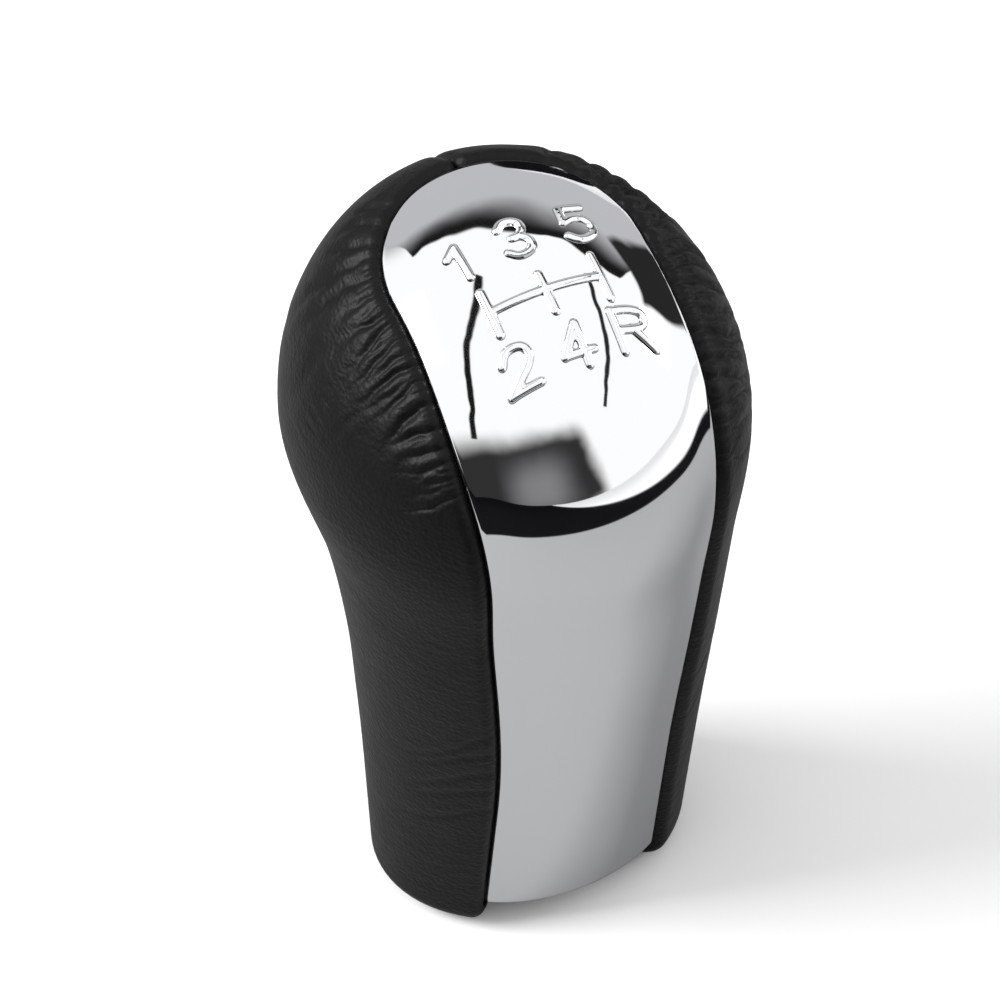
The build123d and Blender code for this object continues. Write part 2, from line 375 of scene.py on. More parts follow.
def shell_piece(name, grid, normals, radius, wall, steps=6):
    """A closed shell: the grid outside, a rounded rim round it, and the grid again inside."""
    outer, normals = grid.reshape(-1, 3), normals.reshape(-1, 3)
    index = np.arange(len(outer)).reshape(grid.shape[:2])
    loop = border_loop(index)
    edge, up = outer[loop], normals[loop]
    along = np.roll(edge, -1, axis=0) - np.roll(edge, 1, axis=0)
    out = unit(np.cross(along, up))
    if np.einsum("ij,ij->i", out, edge - outer.mean(axis=0)).mean() < 0:
        out = -out
    turns = np.linspace(0.0, math.pi / 2, steps + 1)[1:]
    rings = [edge + out * radius * math.sin(turn) - up * radius * (1 - math.cos(turn)) for turn in turns]
    rings.append(edge + out * radius - up * wall)
    points = np.vstack((outer, *rings, outer - normals * wall))
    corners = index[:-1, :-1], index[:-1, 1:], index[1:, 1:], index[1:, :-1]
    quads = np.stack(corners, axis=-1).reshape(-1, 4)
    inside = len(outer) + len(rings) * len(loop)
    faces = [quads, quads[:, ::-1] + inside]
    starts = range(len(outer), inside, len(loop))
    lines = [loop, *(start + np.arange(len(loop)) for start in starts), loop + inside]
    for first, second in zip(lines, lines[1:]):
        faces.append(np.stack((np.roll(first, -1), first, second, np.roll(second, -1)), axis=-1))
    mesh = bpy.data.meshes.new(name)
    mesh.from_pydata(points.tolist(), [], np.vstack(faces).tolist())
    piece = add_object(name, mesh)
    face_outwards(piece)
    return piece


def apply_modifier(piece, kind, **values):
    """Adds a modifier with its values and applies it."""
    only(piece)
    modifier = piece.modifiers.new(kind.title(), kind)
    for key, value in values.items():
        setattr(modifier, key, value)
    bpy.ops.object.modifier_apply(modifier=modifier.name)


def face_outwards(piece):
    """Recalculates a closed piece's normals to point outwards and shades it smooth."""
    only(piece)
    bpy.ops.object.mode_set(mode="EDIT")
    bpy.ops.mesh.select_all(action="SELECT")
    bpy.ops.mesh.normals_make_consistent(inside=False)
    bpy.ops.object.mode_set(mode="OBJECT")
    bpy.ops.object.shade_smooth()


def settle(piece, material, slot, *nodes):
    """Gives a piece its material, lets it ride on the knob and hides the nodes it stands for."""
    piece.data.materials.clear()
    piece.data.materials.append(material)
    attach(piece, "root")
    if nodes:
        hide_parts(*nodes)


# Materials


def fill(tree, socket, value):
    """Links a socket to another one, or gives it a value."""
    if isinstance(value, bpy.types.NodeSocket):
        tree.links.new(value, socket)
    else:
        socket.default_value = value


def add_node(tree, kind, inputs=(), **settings):
    """Outputs of a new shader node with its settings made and its inputs filled."""
    node = tree.nodes.new("ShaderNode" + kind)
    for name, value in settings.items():
        setattr(node, name, value)
    for key, value in dict(inputs).items():
        fill(tree, node.inputs[key], value)
    return node.outputs


def mapped(tree, value, source, target=(0.0, 1.0), **settings):
    """A value taken from one range over to another."""
    ends = dict(zip(("From Min", "From Max", "To Min", "To Max"), (*source, *target)))
    return add_node(tree, "MapRange", {"Value": value, **ends}, **settings)["Result"]


def blended(tree, share, first, second):
    """A colour that goes from the first to the second with a share."""
    return add_node(tree, "Mix", {"Factor": share, "A": first, "B": second}, data_type="RGBA")["Result"]


def bumped(tree, height, strength, distance):
    """A normal that leans with a height."""
    return add_node(tree, "Bump", {"Height": height, "Strength": strength, "Distance": distance})["Normal"]


def camera_ray(tree):
    """1 where the camera itself looks, 0 in reflections and light."""
    return add_node(tree, "LightPath")["Is Camera Ray"]


def new_material(name):
    """A material, its node tree and a place in its object's own axes."""
    material = bpy.data.materials.new(name)
    material.use_nodes = True
    return material, material.node_tree, add_node(material.node_tree, "TexCoord")["Object"]


def finished(material, inputs):
    """The material with inputs of its main shader filled."""
    for name, value in inputs.items():
        fill(material.node_tree, material.node_tree.nodes["Principled BSDF"].inputs[name], value)
    return material


def chrome_material(name):
    """Mirror plating with faint wipe marks in its gloss."""
    material, tree, place = new_material(name)
    smear = add_node(tree, "TexNoise", {"Vector": place, "Scale": 90.0, "Detail": 4.0})["Fac"]
    return finished(material, {
        "Base Color": bpy.context.scene.knob_trim.plating,
        "Metallic": 1.0,
        "Roughness": mapped(tree, smear, (0.35, 0.75), (0.02, 0.05)),
    })


def painted_shade_chrome_material(name):
    """The same plating with painted shade round the feet of the strokes, where the relief attribute is low."""
    material = chrome_material(name)
    tree = material.node_tree
    relief = add_node(tree, "Attribute", attribute_name="relief")["Fac"]
    unshaded = mapped(tree, relief, (0.04 * MM, 0.16 * MM))
    # Painted shade: dark where a stroke stands less than 0.04 mm over the dome, fading out by 0.16 mm.
    painted_shade, plating = (0.16, 0.16, 0.165, 1.0), bpy.context.scene.knob_trim.plating
    return finished(material, {"Base Color": blended(tree, unshaded, painted_shade, plating)})


def leather_material():
    """Soft black leather with a fine pebbled grain, small creases and an uneven gloss."""
    material, tree, place = new_material("black_leather")
    pebble = add_node(tree, "TexVoronoi", {"Vector": place, "Scale": 1900.0, "Randomness": 0.9})["Distance"]
    tone = add_node(tree, "TexNoise", {"Vector": place, "Scale": 70.0, "Detail": 3.0})["Fac"]
    stretched = add_node(tree, "Mapping", {"Vector": place, "Scale": (1.0, 1.0, 2.6)})["Vector"]
    crease = add_node(tree, "TexNoise", {
        "Vector": stretched, "Scale": 330.0, "Detail": 5.0, "Distortion": 0.6})["Fac"]
    grain = add_node(tree, "Math", {0: crease, 1: 1.6, 2: pebble}, operation="MULTIPLY_ADD")["Value"]
    colour = bpy.context.scene.knob_leather.colour
    paler = [min(1.0, value * 1.7) for value in colour[:3]]
    return finished(material, {
        "Base Color": blended(tree, tone, colour, (*paler, 1.0)),
        "Roughness": mapped(tree, crease, (0.0, 1.0), (0.36, 0.54)),
        "Normal": bumped(tree, grain, 0.4, 0.12 * MM),
        "Specular IOR Level": 0.14,
        "Sheen Weight": 0.02,
        "Sheen Roughness": 0.4,
    })


def plastic_material(name, colour):
    """Matte moulded plastic with a fine spark-eroded grain."""
    material, tree, place = new_material(name)
    spark = add_node(tree, "TexNoise", {"Vector": place, "Scale": 3200.0, "Detail": 2.0})["Fac"]
    paler = [value * 1.35 for value in colour]
    return finished(material, {
        "Base Color": blended(tree, spark, (*colour, 1.0), (*paler, 1.0)),
        "Roughness": mapped(tree, spark, (0.0, 1.0), (0.5, 0.65)),
        "Normal": bumped(tree, spark, 0.25, 0.05 * MM),
        "Specular IOR Level": 0.4,
    })


def brass_material():
    """Turned brass with fine rings left by the tool."""
    material, tree, place = new_material("turned_brass")
    rings = add_node(tree, "TexWave", {"Vector": place, "Scale": 900.0, "Distortion": 0.6},
                     wave_type="RINGS", rings_direction="Z")["Fac"]
    return finished(material, {
        "Base Color": blended(tree, rings, (0.62, 0.46, 0.21, 1.0), (0.74, 0.57, 0.29, 1.0)),
        "Roughness": mapped(tree, rings, (0.0, 1.0), (0.22, 0.36)),
        "Metallic": 1.0,
    })


# Chrome strip: points along it and across it

STRIP_GRID = 261, 81


class KNOB_OT_trim(bpy.types.Operator):
    """Builds the chrome strip from its foot over the dome to its arch"""

    bl_idname = "knob.trim"
    bl_label = "Chrome Strip"

    def execute(self, context):
        trim = context.scene.knob_trim
        head = context.scene.knob_form.ring_height[HEAD]
        across = np.linspace(-1.0, 1.0, 11)
        stem_z = np.linspace(trim.lift + trim.edge_round, head, 14)
        crown_steps = np.linspace(0.0, 1.0, 9)[1:]
        arch_steps = np.linspace(0.0, 1.0, 5)[1:]
        points = strip_rows(across, stem_z, crown_steps, arch_steps, -trim.edge_round, trim.sink)
        grid = spline_surface(points, *STRIP_GRID)
        normals = form_normal(grid.reshape(-1, 3), trim.sink).reshape(grid.shape)
        strip = shell_piece("chrome_strip", grid, normals, trim.edge_round, trim.wall)
        settle(strip, chrome_material("mirror_chrome"), "trim_chrome", "chrome_trim")
        return {"FINISHED"}


# Leather panels


def profile(v):
    """Height and inset along a profile that rounds the foot, climbs the stem and goes over the crown."""
    form = form_settings()
    radius, head = form.foot_radius, form.ring_height[HEAD]
    turn = np.clip((radius - v) / radius, 0.0, math.pi / 2)
    angle = np.clip((v - head) / form.crown_height, 0.0, math.pi / 2)
    over = head + form.crown_height * np.sin(angle) ** (2 / form.crown_fullness)
    z = np.where(v < radius, radius - radius * np.sin(turn), np.where(v > head, over, v))
    return z, radius * (1 - np.cos(turn))


def skin_point(turn, v):
    """Point of the leather's skin at a turn round from the front and a place up the profile."""
    z, inset = profile(v)
    side, middle, depth = section(z)
    return np.stack(((side - inset) * np.sin(turn), middle - (depth - inset) * np.cos(turn), z), axis=-1)


def chart(points):
    """Turn and place up the profile of points on the form."""
    form = form_settings()
    side, middle, depth = section(points[:, 2])
    turn = np.arctan2(points[:, 0] / side, (middle - points[:, 1]) / depth)
    head = form.ring_height[HEAD]
    up = np.clip((points[:, 2] - head) / form.crown_height, 0.0, 1.0)
    over = head + form.crown_height * np.arcsin(up ** (form.crown_fullness / 2))
    return np.column_stack((turn, np.where(points[:, 2] > head, over, points[:, 2])))


def run_lengths(curve):
    """Length along a curve at each of its points."""
    return np.concatenate(([0.0], np.cumsum(np.linalg.norm(np.diff(curve, axis=0), axis=1))))


def flat_curve_at(curve, lengths, marks):
    """Points of a flat curve at the given lengths along it."""
    return np.column_stack([np.interp(marks, lengths, curve[:, axis]) for axis in (0, 1)])


def even_resample(curve, shares):
    """Places along a chart curve at the given shares of its length on the form."""
    lengths = run_lengths(skin_point(curve[:, 0], curve[:, 1]))
    return flat_curve_at(curve, lengths, shares * lengths[-1])


def shares_by_density(count, places, densities):
    """Shares from 0 to 1 that lie closer together where the density is high."""
    fine = np.linspace(0.0, 1.0, 2001)
    gathered = np.concatenate(([0.0], np.cumsum(np.interp(fine[1:], places, densities))))
    return np.interp(np.linspace(0.0, 1.0, count), gathered / gathered[-1], fine)


def moved_out(points, distance, lift, inset):
    """An edge on the form taken in by inset, moved outwards over the form and lifted off it."""
    normal = form_normal(points, inset)
    return points + unit(np.cross(np.gradient(points, axis=0), normal)) * distance + normal * lift


def panel_edges(hem, half_seam):
    """Chart curves of a panel's edge beside the strip and round its arch, as far as the back seam."""
    scene = bpy.context.scene
    leather, form, trim = scene.knob_leather, scene.knob_form, scene.knob_trim
    rim = trim.edge_round
    stem_z = np.linspace(form.foot_radius, form.ring_height[HEAD], 60)
    crown_steps = np.linspace(0.0, 1.0, 60)[1:]
    side = strip_rows(np.array((1.0,)), stem_z, crown_steps, (), -rim, trim.sink)[:, 0]
    angles = np.linspace(0.0, math.pi / 2, 90)[1:]
    reach = trim.arch_reach - rim * trim.arch_slope
    arch = cast_outline((trim.half_width[3] - rim) * np.cos(angles),
                        outline_marks()[-1] + reach * np.sin(angles), trim.sink)
    edge = moved_out(np.vstack((side, arch)), rim + leather.gap + leather.roll, trim.sink, trim.sink)
    last = np.argmax(edge[:, 0] < half_seam)
    share = (edge[last - 1, 0] - half_seam) / (edge[last - 1, 0] - edge[last, 0])
    places = chart(np.vstack((edge[:last], edge[last - 1] + share * (edge[last] - edge[last - 1]))))
    return np.vstack(((places[0, 0], hem), places[:len(side)])), places[len(side) - 1:]


# Shares of a panel's width and height, and how close its points lie there
ACROSS_DENSITY = ((0.0, 0.18, 0.3, 0.9, 1.0), (3.0, 3.0, 1.0, 1.0, 2.5))
UPWARD_DENSITY = ((0.0, 0.06, 0.1, 0.56, 0.62, 1.0), (2.0, 2.0, 1.0, 1.0, 3.0, 3.0))


def panel_chart(columns, rows):
    """Chart places of a panel: strip edge to back seam across, hem to arch upwards."""
    leather, foot = bpy.context.scene.knob_leather, form_settings().foot_radius
    hem = foot - foot * math.pi / 2
    half_seam = leather.seam / 2 + leather.roll
    side_chart, arch_chart = panel_edges(hem, half_seam)
    seam_v = np.linspace(hem, arch_chart[-1, 1], 120)
    seam_z, seam_inset = profile(seam_v)
    seam_turn = math.pi - np.arcsin(half_seam / (section(seam_z)[0] - seam_inset))
    seam_chart = np.column_stack((seam_turn, seam_v))
    hem_chart = np.column_stack((np.linspace(side_chart[0, 0], seam_turn[0], 40), np.full(40, hem)))
    p = shares_by_density(columns, *ACROSS_DENSITY)
    q = shares_by_density(rows, *UPWARD_DENSITY)
    left, right = even_resample(side_chart, q), even_resample(seam_chart, q)
    low, high = even_resample(hem_chart, p), even_resample(arch_chart, p)
    pp, qq = p[None, :, None], q[:, None, None]
    ruled = (1 - pp) * left[:, None] + pp * right[:, None] + (1 - qq) * low[None] + qq * high[None]
    corners = (1 - qq) * ((1 - pp) * low[0] + pp * low[-1]) + qq * ((1 - pp) * high[0] + pp * high[-1])
    return ruled - corners


def nearest_on(points, curve):
    """Distance of each point from a curve, and the curve length at the nearest place."""
    lengths = run_lengths(curve)
    nearest = np.concatenate([np.linalg.norm(block[:, None, :] - curve[None], axis=2).argmin(axis=1)
                              for block in np.array_split(points, 40)])
    best, along = np.full(len(points), np.inf), np.zeros(len(points))
    for first in (nearest - 1, nearest):
        first = np.clip(first, 0, len(curve) - 2)
        span = curve[first + 1] - curve[first]
        share = np.einsum("ij,ij->i", points - curve[first], span) / np.einsum("ij,ij->i", span, span)
        share = np.clip(share, 0.0, 1.0)
        gap = np.linalg.norm(points - curve[first] - share[:, None] * span, axis=1)
        closer = gap < best
        best = np.where(closer, gap, best)
        along = np.where(closer, lengths[first] + share * (lengths[first + 1] - lengths[first]), along)
    return best, along


def ease(t):
    """Smooth step from 0 to 1."""
    t = np.clip(t, 0.0, 1.0)
    return t * t * (3 - 2 * t)


# Gathers in millimetres: place along the strip's edge from the hem, reach, slant, width, strength

LEFT_GATHERS = (
    (112.6, 6.0, 0.1, 0.4, 0.7), (110.3, 7.0, 0.1, 0.45, 0.8), (108.0, 8.0, 0.1, 0.45, 0.9),
    (105.7, 9.0, 0.15, 0.5, 1.0), (103.3, 14.0, 0.1, 0.55, 1.0), (100.6, 7.0, 0.1, 0.4, 0.7),
    (98.3, 9.5, 0.15, 0.55, 1.0), (96.5, 8.5, -0.15, 0.5, 0.9), (94.4, 9.0, -0.15, 0.45, 0.8),
    (92.9, 7.0, -0.2, 0.45, 0.7), (91.5, 9.5, -0.1, 0.5, 1.0), (89.6, 6.5, -0.25, 0.45, 0.8),
    (87.3, 7.0, -0.45, 0.55, 1.0), (85.1, 7.0, -0.15, 0.45, 0.9), (83.0, 5.0, -0.1, 0.4, 0.7),
    (81.2, 4.0, -0.1, 0.35, 0.5), (79.6, 3.0, 0.0, 0.3, 0.4), (104.4, 24.0, 0.2, 0.5, 0.45),
    (99.5, 22.0, 0.1, 0.5, 0.5), (95.4, 25.0, 0.0, 0.5, 0.45), (90.4, 20.0, -0.1, 0.5, 0.4),
    (40.0, 13.0, -0.9, 0.5, 0.2), (37.0, 11.0, -0.7, 0.45, 0.22), (33.5, 14.0, -0.8, 0.5, 0.2),
    (30.0, 10.0, -0.6, 0.4, 0.18), (26.0, 12.0, -0.7, 0.45, 0.15),
)
RIGHT_GATHERS = (
    (112.5, 9.0, 0.0, 0.45, 0.6), (109.4, 12.0, -0.1, 0.5, 0.8), (107.1, 10.5, 0.0, 0.5, 0.9),
    (105.0, 12.0, 0.05, 0.5, 0.9), (102.8, 13.5, 0.1, 0.5, 0.8), (101.0, 18.0, 0.2, 0.55, 0.9),
    (98.3, 12.0, 0.5, 0.5, 0.9), (96.2, 9.0, 0.2, 0.4, 0.6), (94.2, 19.5, 0.3, 0.6, 1.0),
    (92.8, 13.5, 0.1, 0.45, 0.8), (90.8, 16.5, -0.05, 0.6, 1.0), (88.3, 9.8, -0.25, 0.45, 0.8),
    (86.9, 10.5, -0.1, 0.4, 0.6), (85.4, 18.0, -0.2, 0.55, 1.0), (82.9, 12.0, -0.3, 0.5, 0.9),
    (80.4, 13.5, -0.2, 0.5, 0.7), (78.0, 16.5, -0.2, 0.5, 0.7), (75.2, 13.5, -0.3, 0.45, 0.4),
    (71.5, 12.0, -0.3, 0.4, 0.3), (103.9, 20.0, 0.1, 0.5, 0.6), (95.2, 22.0, 0.1, 0.5, 0.6),
    (87.6, 20.0, -0.1, 0.5, 0.6), (84.0, 18.0, -0.2, 0.5, 0.5), (38.0, 8.0, 0.4, 0.4, 0.15),
    (31.0, 9.0, 0.3, 0.4, 0.15),
)
# Each panel's solid, side and main gathers, and the seed and span of its finer gathers
PANELS = (
    ("leather_right", 1.0, RIGHT_GATHERS, (3, 73.0, 113.0)),
    ("leather_left", -1.0, LEFT_GATHERS, (8, 78.0, 114.0)),
)
SMALL_PITCH = 0.9
# Sideways wander of a gather: swing in millimetres, and its pace along the gather and between gathers
WANDERS = ((0.3, 620.0, 9000.0), (0.08, 2300.0, 5000.0))
# Share of a gather's depth that is left at the panel's edge, and how far in it is full
EDGE_SHARE = 0.6
EDGE_FADE = 2.0 * MM
# Width of the swell beside a gather, and how far from the edge it is full
SWELL_WIDTH = 2.2 * MM
SWELL_FADE = 3.0 * MM


def small_gathers(seed, first, last):
    """Finer gathers scattered between the main ones."""
    chance = np.random.default_rng(seed)
    return [(place + chance.uniform(-0.5, 0.5), chance.uniform(3.0, 9.0), chance.uniform(-0.4, 0.4), 0.2,
             chance.uniform(0.15, 0.45)) for place in np.arange(first, last, SMALL_PITCH)]


def gathered_skin(grid, normals, gathers):
    """Sinks gathers into a panel's skin beside the strip and swells the leather between them."""
    leather = bpy.context.scene.knob_leather
    points = grid.reshape(-1, 3)
    gap, along = nearest_on(points, np.vstack((grid[:, 0], grid[-1, 1:])))
    sunk = swell = np.zeros(len(points))
    for place, reach, slant, width, strength in gathers:
        place, reach, width = place * MM, reach * MM, width * MM
        wander = sum(swing * MM * np.sin(gap * pace + place * change) for swing, pace, change in WANDERS)
        drift = along - place - slant * gap - wander
        fade = ease(1.15 - 1.15 * gap / reach) * (EDGE_SHARE + (1 - EDGE_SHARE) * ease(gap / EDGE_FADE))
        valley = np.exp(1 - np.sqrt(1 + (drift / (width * (0.55 + 0.5 * gap / reach))) ** 2))
        sunk = np.maximum(sunk, strength * fade * valley)
        swell = np.maximum(swell, strength * ease(1.1 - gap / reach) * np.exp(-(drift / SWELL_WIDTH) ** 2))
    move = leather.puff * swell * ease(gap / SWELL_FADE) - leather.gather_depth * sunk
    return (points + normals.reshape(-1, 3) * move[:, None]).reshape(grid.shape)


class KNOB_OT_leather(bpy.types.Operator):
    """Builds the left and right leather panels"""

    bl_idname = "knob.leather"
    bl_label = "Leather Panels"

    columns: IntProperty(name="Columns", description="Points from the strip to the seam", default=100)
    rows: IntProperty(name="Rows", description="Points from the hem to the arch", default=440)

    def execute(self, context):
        leather = context.scene.knob_leather
        material = leather_material()
        places = panel_chart(self.columns, self.rows)
        skin = skin_point(places[..., 0], places[..., 1])
        normals = self.skin_normals(skin)
        for node, side, gathers, finer in PANELS:
            turn = np.array((side, 1.0, 1.0))
            dressed = gathered_skin(skin, normals, (*gathers, *small_gathers(*finer))) * turn
            panel = shell_piece(node + "_panel", dressed, normals * turn, leather.roll, leather.skin)
            settle(panel, material, "leather_black", node)
        return {"FINISHED"}

    def skin_normals(self, skin):
        """Outward directions of the skin, turned down under the foot."""
        points = skin.reshape(-1, 3)
        level = form_normal(points, 0.0)
        low = np.clip(1 - points[:, 2] / form_settings().foot_radius, 0.0, 1.0)[:, None]
        return unit(level * np.sqrt(1 - low ** 2) - UP * low).reshape(skin.shape)


# Shift pattern: strokes in a box one high, straight with two corners and smoothly curved with more

FIGURES = {
    "1": (((-0.22, 0.24), (0.05, 0.5)), ((0.05, 0.5), (0.05, -0.5))),
    "2": (((-0.31, 0.22), (-0.2, 0.43), (0.02, 0.5), (0.24, 0.42), (0.31, 0.2), (0.2, -0.02),
           (-0.05, -0.25), (-0.33, -0.5)),
          ((-0.33, -0.5), (0.35, -0.5))),
    "3": (((-0.31, 0.34), (-0.12, 0.49), (0.12, 0.49), (0.3, 0.36), (0.29, 0.15), (0.12, 0.02),
           (-0.06, 0.0)),
          ((-0.06, 0.0), (0.18, -0.02), (0.34, -0.18), (0.32, -0.38), (0.12, -0.5), (-0.12, -0.5),
           (-0.33, -0.35))),
    "4": (((0.14, 0.5), (-0.36, -0.2)), ((-0.36, -0.2), (0.38, -0.2)), ((0.14, 0.5), (0.14, -0.5))),
    "5": (((0.3, 0.5), (-0.22, 0.5)), ((-0.22, 0.5), (-0.28, 0.06)),
          ((-0.28, 0.06), (-0.05, 0.15), (0.2, 0.1), (0.34, -0.12), (0.28, -0.38), (0.05, -0.5),
           (-0.15, -0.49), (-0.33, -0.36))),
    "R": (((-0.3, -0.5), (-0.3, 0.5)),
          ((-0.3, 0.5), (0.05, 0.5), (0.27, 0.42), (0.33, 0.24), (0.25, 0.06), (0.02, 0.0),
           (-0.3, 0.0)),
          ((0.02, 0.0), (0.34, -0.5))),
}
# Middle of each figure in plan, its width scale and its height, and the gate lines, in millimetres
FIGURE_PLACES = (
    ("1", -6.3, 3.0, 4.4, 4.1), ("3", -0.35, 3.2, 3.9, 4.4), ("5", 6.4, 3.2, 4.4, 4.2),
    ("2", -5.6, -9.2, 4.5, 3.7), ("4", 0.6, -9.3, 4.2, 3.7), ("R", 6.8, -8.9, 5.2, 3.7),
)
GATE = (
    ((-6.0, -1.1), (-6.0, -5.8)), ((0.0, -1.7), (0.0, -5.8)),
    ((6.0, -1.0), (6.0, -5.8)), ((-6.0, -3.4), (6.0, -3.4)),
)
# Spacing of points along a stroke, grain of its mesh, and a height inside the dome under all strokes
STROKE_STEP = 0.12 * MM
STROKE_VOXEL = 0.085 * MM
UNDER_DOME = 70 * MM
# Places of the points that round a stroke's end, in shares of its radius
END_SHARES = np.array((0.35, 0.65, 0.87, 0.98))


def drawn_stroke(corners):
    """Evenly spaced points along a stroke."""
    if len(corners) > 2:
        ends = np.vstack((2 * corners[0] - corners[1], corners, 2 * corners[-1] - corners[-2]))
        t = np.linspace(0.0, 1.0, 24, endpoint=False)[:, None]
        parts = [0.5 * (2 * b + (c - a) * t + (2 * a - 5 * b + 4 * c - d) * t ** 2
                        + (3 * b - a - 3 * c + d) * t ** 3)
                 for a, b, c, d in zip(ends, ends[1:], ends[2:], ends[3:])]
        corners = np.vstack((*parts, corners[-1:]))
    lengths = run_lengths(corners)
    marks = np.linspace(0.0, lengths[-1], max(2, int(lengths[-1] / STROKE_STEP) + 1))
    return flat_curve_at(corners, lengths, marks)


class KNOB_OT_shift_pattern(bpy.types.Operator):
    """Raises the gate lines and figures on the dome"""

    bl_idname = "knob.shift_pattern"
    bl_label = "Shift Pattern"

    stroke: FloatProperty(
        name="Stroke", description="Thickness of the strokes", default=0.0011, unit="LENGTH")
    relief: FloatProperty(
        name="Relief", description="How far the strokes stand up", default=0.0004, unit="LENGTH")

    def execute(self, context):
        strokes = [np.array(corners) * MM for corners in GATE]
        for figure, x, y, width, height in FIGURE_PLACES:
            for corners in FIGURES[figure]:
                strokes.append(np.array(corners) * (width * MM, height * MM) + np.array((x, y)) * MM)
        curve = bpy.data.curves.new("shift_pattern", "CURVE")
        curve.dimensions = "3D"
        curve.bevel_depth = self.stroke / 2
        curve.bevel_resolution = 4
        curve.use_fill_caps = True
        for corners in strokes:
            self.add_stroke(curve, drawn_stroke(corners))
        only(add_object("shift_pattern", curve))
        bpy.ops.object.convert(target="MESH")
        pattern = context.object
        apply_modifier(pattern, "REMESH", mode="VOXEL", voxel_size=STROKE_VOXEL)
        apply_modifier(pattern, "SMOOTH", factor=0.5, iterations=6)
        face_outwards(pattern)
        self.mark_relief(pattern)
        # The strokes are plated with painted shade round their feet.
        settle(pattern, painted_shade_chrome_material("figure_chrome"), "trim_chrome")
        return {"FINISHED"}

    def mark_relief(self, pattern):
        """Stores how far each point stands over the dome."""
        points = np.array([vertex.co for vertex in pattern.data.vertices])
        sink = bpy.context.scene.knob_trim.sink
        relief = pattern.data.attributes.new("relief", "FLOAT", "POINT")
        relief.data.foreach_set("value", height_over(points, sink).astype(np.float32))

    def add_stroke(self, curve, places):
        """Lays one stroke on the dome, sunk so that its relief stands up, with rounded ends."""
        sink = bpy.context.scene.knob_trim.sink
        radius = self.stroke / 2
        start, end = places[0] - places[1], places[-1] - places[-2]
        before = places[0] + np.outer(END_SHARES[::-1] * radius, start / np.linalg.norm(start))
        after = places[-1] + np.outer(END_SHARES * radius, end / np.linalg.norm(end))
        round_end = np.sqrt(1 - END_SHARES ** 2)
        sizes = np.concatenate((round_end[::-1], np.ones(len(places)), round_end))
        places = np.vstack((before, places, after))
        starts = np.column_stack((places, np.full(len(places), UNDER_DOME)))
        points = cast(starts, UP, sink)
        points -= form_normal(points, sink) * (radius - self.relief)
        spline = curve.splines.new("POLY")
        spline.points.add(len(points) - 1)
        for target, point, size in zip(spline.points, points, sizes):
            target.co = (*point, 1.0)
            target.radius = size


# Inner parts. Thread ridge: its radius and how deep its middle lies in the wall, in pitches, and its steps

RIDGE_RADIUS = 0.46
RIDGE_DEPTH = 0.18
RIDGE_STEPS = 40


class KNOB_OT_inner_parts(bpy.types.Operator):
    """Finishes the core, the base plate and the bush, and cuts the bush's thread"""

    bl_idname = "knob.inner_parts"
    bl_label = "Inner Parts"

    pitch: FloatProperty(
        name="Pitch", description="Pitch of the lever thread", default=0.00125, unit="LENGTH")
    bore: FloatProperty(
        name="Bore", description="Radius of the bush's bore", default=0.005325, unit="LENGTH")
    turns: IntProperty(name="Turns", description="Turns of the thread", default=22)

    def execute(self, context):
        brass = brass_material()
        finishes = {
            "core": plastic_material("core_plastic", (0.02, 0.02, 0.021)),
            "base_cap": plastic_material("cap_plastic", (0.028, 0.028, 0.03)),
            "threaded_insert": brass,
        }
        for node, material in finishes.items():
            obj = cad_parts[node]
            obj.data.materials.clear()
            obj.data.materials.append(material)
        settle(self.thread(context), brass, "bush_brass")
        return {"FINISHED"}

    def thread(self, context):
        """A helical ridge that stands out of the bore's wall."""
        bpy.ops.mesh.primitive_circle_add(vertices=3, radius=self.pitch * RIDGE_RADIUS)
        ridge = context.object
        ridge.name = ridge.data.name = "bush_thread"
        for vertex in ridge.data.vertices:
            across, along = -vertex.co.y, vertex.co.x
            vertex.co = (self.bore + across + self.pitch * RIDGE_DEPTH, 0.0, along + self.pitch)
        apply_modifier(ridge, "SCREW", axis="Z", screw_offset=self.pitch, iterations=self.turns,
                       steps=RIDGE_STEPS, render_steps=RIDGE_STEPS, use_merge_vertices=False)
        only(ridge)
        bpy.ops.object.mode_set(mode="EDIT")
        bpy.ops.mesh.select_all(action="SELECT")
        bpy.ops.mesh.remove_doubles(threshold=1e-6)
        bpy.ops.mesh.fill_holes(sides=3)
        bpy.ops.object.mode_set(mode="OBJECT")
        face_outwards(ridge)
        bpy.ops.object.shade_smooth_by_angle(angle=math.radians(30.0))
        return ridge


# Stage: name, place, size and power of each lamp, which all look at one place

LAMPS = (("key", (-0.75, 0.3, 0.62), 0.5, 12.0), ("fill", (0.9, -0.15, 0.45), 0.3, 1.5))
LAMP_TARGET = (0, 0, 0.05)
# Painted reflections, the floor's colours for all but the camera: a grey table, a dark room beyond it and a
# bright window at one side
PAINTED_TABLE_REFLECTION = (0.335, 0.336, 0.34, 1.0)
PAINTED_ROOM_REFLECTION = (0.006, 0.006, 0.007, 1.0)
PAINTED_WINDOW_REFLECTION = (0.95, 0.95, 0.955, 1.0)
PAINTED_WINDOW_SIDE = (0.94, -0.34, 0.0)
# Sky: its tone for the camera and in reflections, its strength, and its turn with the camera
SEEN_SKY = (0.93, 0.93, 0.933, 1.0)
MIRRORED_SKY = (1.0, 1.0, 1.0, 1.0)
SKY_STRENGTH = 1.12
SKY_TURN = math.radians(3.5)
# Waver of the cards' edges
WAVER = 0.1
